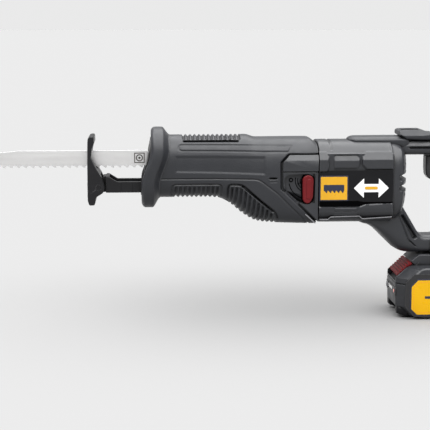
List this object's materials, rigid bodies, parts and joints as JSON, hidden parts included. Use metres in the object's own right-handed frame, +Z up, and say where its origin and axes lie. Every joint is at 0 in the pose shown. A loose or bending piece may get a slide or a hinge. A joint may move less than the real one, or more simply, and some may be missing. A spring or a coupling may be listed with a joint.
{
  "type": "cordless reciprocating saw",
  "caption": "Battery-powered reciprocating saw with a D-handle, pivoting shoe, sliding plunger and blade, selector lever and slide-off battery pack.",
  "frame": {"origin": "centre of the bounding box in plan, at the flat base of the battery", "axes": "blade points to -X, handle to +X, +Y to the tool's right-hand side seen by its user, +Z up"},
  "size_m": [0.576, 0.0776, 0.2093],
  "materials": {
    "rubber_grip": "matte moulded rubber, slightly grained",
    "shell_grey": "satin glass-filled nylon",
    "black_plastic": "satin black plastic",
    "red_plastic": "semi-gloss dark red plastic",
    "cast_aluminium": "die-cast aluminium, dark coated where it shows",
    "steel": "ground steel",
    "blade_steel": "brushed bare steel",
    "black_steel": "black oxide steel, worn at the edges",
    "brass": "bare copper alloy",
    "board_green": "coated circuit board",
    "cell_sleeve": "shrink-sleeved cells, density near that of lithium cells"
  },
  "bodies": {
    "tool_body": {"front_boot": "rubber_grip", "boot_insert": "black_plastic", "front_grip": "rubber_grip", "gear_case_lower": "cast_aluminium", "gear_case_upper": "cast_aluminium", "plunger_bush": "brass", "plunger_seal": "rubber_grip", "shoe_detent_spring": "steel", "crank_bearing": "steel", "stator_core": "black_steel", "winding_front": "brass", "winding_rear": "brass", "front_bearing": "steel", "rear_bearing": "steel", "motor_end_frame": "cast_aluminium", "motor_housing": "shell_grey", "handle_left": "shell_grey", "handle_right": "shell_grey", "top_pad": "rubber_grip", "grip_pad": "rubber_grip", "trigger_spring": "steel", "trigger_switch": "black_plastic", "controller_module": "board_green", "tool_terminal_block": "black_plastic", "handle_screw_1": "black_steel", "handle_screw_2": "black_steel", "handle_screw_3": "black_steel", "handle_screw_4": "black_steel"},
    "plunger_and_blade": {"plunger": "steel", "saw_blade": "blade_steel", "blade_clamp_pin": "steel", "collar_spring": "steel"},
    "clamp_collar": {"blade_clamp_collar": "black_steel"},
    "arm": {"shoe_arm": "black_steel", "shoe_pivot_pin": "steel"},
    "shoe": {"shoe": "black_steel"},
    "crank": {"crank_gear": "steel", "crank_pin": "steel"},
    "rotor": {"motor_shaft": "steel", "rotor_core": "black_steel", "cooling_fan": "black_plastic"},
    "selector": {"selector_lever": "red_plastic", "selector_shaft": "steel"},
    "trigger": {"trigger": "black_plastic"},
    "lock_button": {"lock_off_button": "black_plastic"},
    "battery": {"battery_case_lower": "shell_grey", "battery_case_upper": "shell_grey", "cell_row_lower": "cell_sleeve", "cell_row_upper": "cell_sleeve", "battery_board": "board_green", "battery_contacts": "brass", "gauge_panel": "black_plastic", "latch_spring": "steel"},
    "latch": {"battery_latch": "red_plastic"},
    "gauge_button": {"gauge_button": "red_plastic"}
  },
  "joints": [
    {"name": "plunger_stroke", "type": "slide", "parent": "tool_body", "child": "plunger_and_blade", "axis": [1, 0, 0], "range_m": [-0.014, 0.014]},
    {"name": "collar_twist", "type": "hinge", "parent": "plunger_and_blade", "child": "clamp_collar", "pos_m": [-0.094, 0, 0.1745], "axis": [1, 0, 0], "range_deg": [0, 45], "stiffness_Nm_per_rad": 0.2, "springref_deg": -11.46},
    {"name": "shoe_arm_slide", "type": "slide", "parent": "tool_body", "child": "arm", "axis": [1, 0, 0], "range_m": [0, 0.025]},
    {"name": "shoe_pivot", "type": "hinge", "parent": "arm", "child": "shoe", "pos_m": [-0.1602, 0, 0.1459], "axis": [0, 1, 0], "range_deg": [-15, 15]},
    {"name": "crank_spin", "type": "hinge", "parent": "tool_body", "child": "crank", "pos_m": [0.03, 0, 0.155], "axis": [0, 0, 1], "continuous": true},
    {"name": "motor_spin", "type": "hinge", "parent": "tool_body", "child": "rotor", "pos_m": [0.1, 0, 0.15], "axis": [1, 0, 0], "continuous": true},
    {"name": "selector_swing", "type": "hinge", "parent": "tool_body", "child": "selector", "pos_m": [0.0636, -0.036, 0.1543], "axis": [0, 1, 0], "range_deg": [0, 90]},
    {"name": "trigger_pull", "type": "slide", "parent": "tool_body", "child": "trigger", "axis": [1, 0, 0], "range_m": [0, 0.007], "stiffness_N_per_m": 600, "springref_m": -0.003, "deforming": ["trigger_spring"]},
    {"name": "lock_off_slide", "type": "slide", "parent": "tool_body", "child": "lock_button", "axis": [0, 1, 0], "range_m": [-0.003, 0.003]},
    {"name": "battery_slide", "type": "slide", "parent": "tool_body", "child": "battery", "axis": [-1, 0, 0], "range_m": [0, 0.11]},
    {"name": "latch_press", "type": "slide", "parent": "battery", "child": "latch", "axis": [0.6954, 0, -0.7186], "range_m": [0, 0.003], "stiffness_N_per_m": 800, "springref_m": -0.002, "deforming": ["latch_spring"]},
    {"name": "gauge_press", "type": "slide", "parent": "battery", "child": "gauge_button", "axis": [1, 0, 0], "range_m": [0, 0.0008], "stiffness_N_per_m": 400, "springref_m": -0.001}
  ],
  "couplings": [
    {"joint": "crank_spin", "follows": "motor_spin", "ratio": -0.16667}
  ]
}
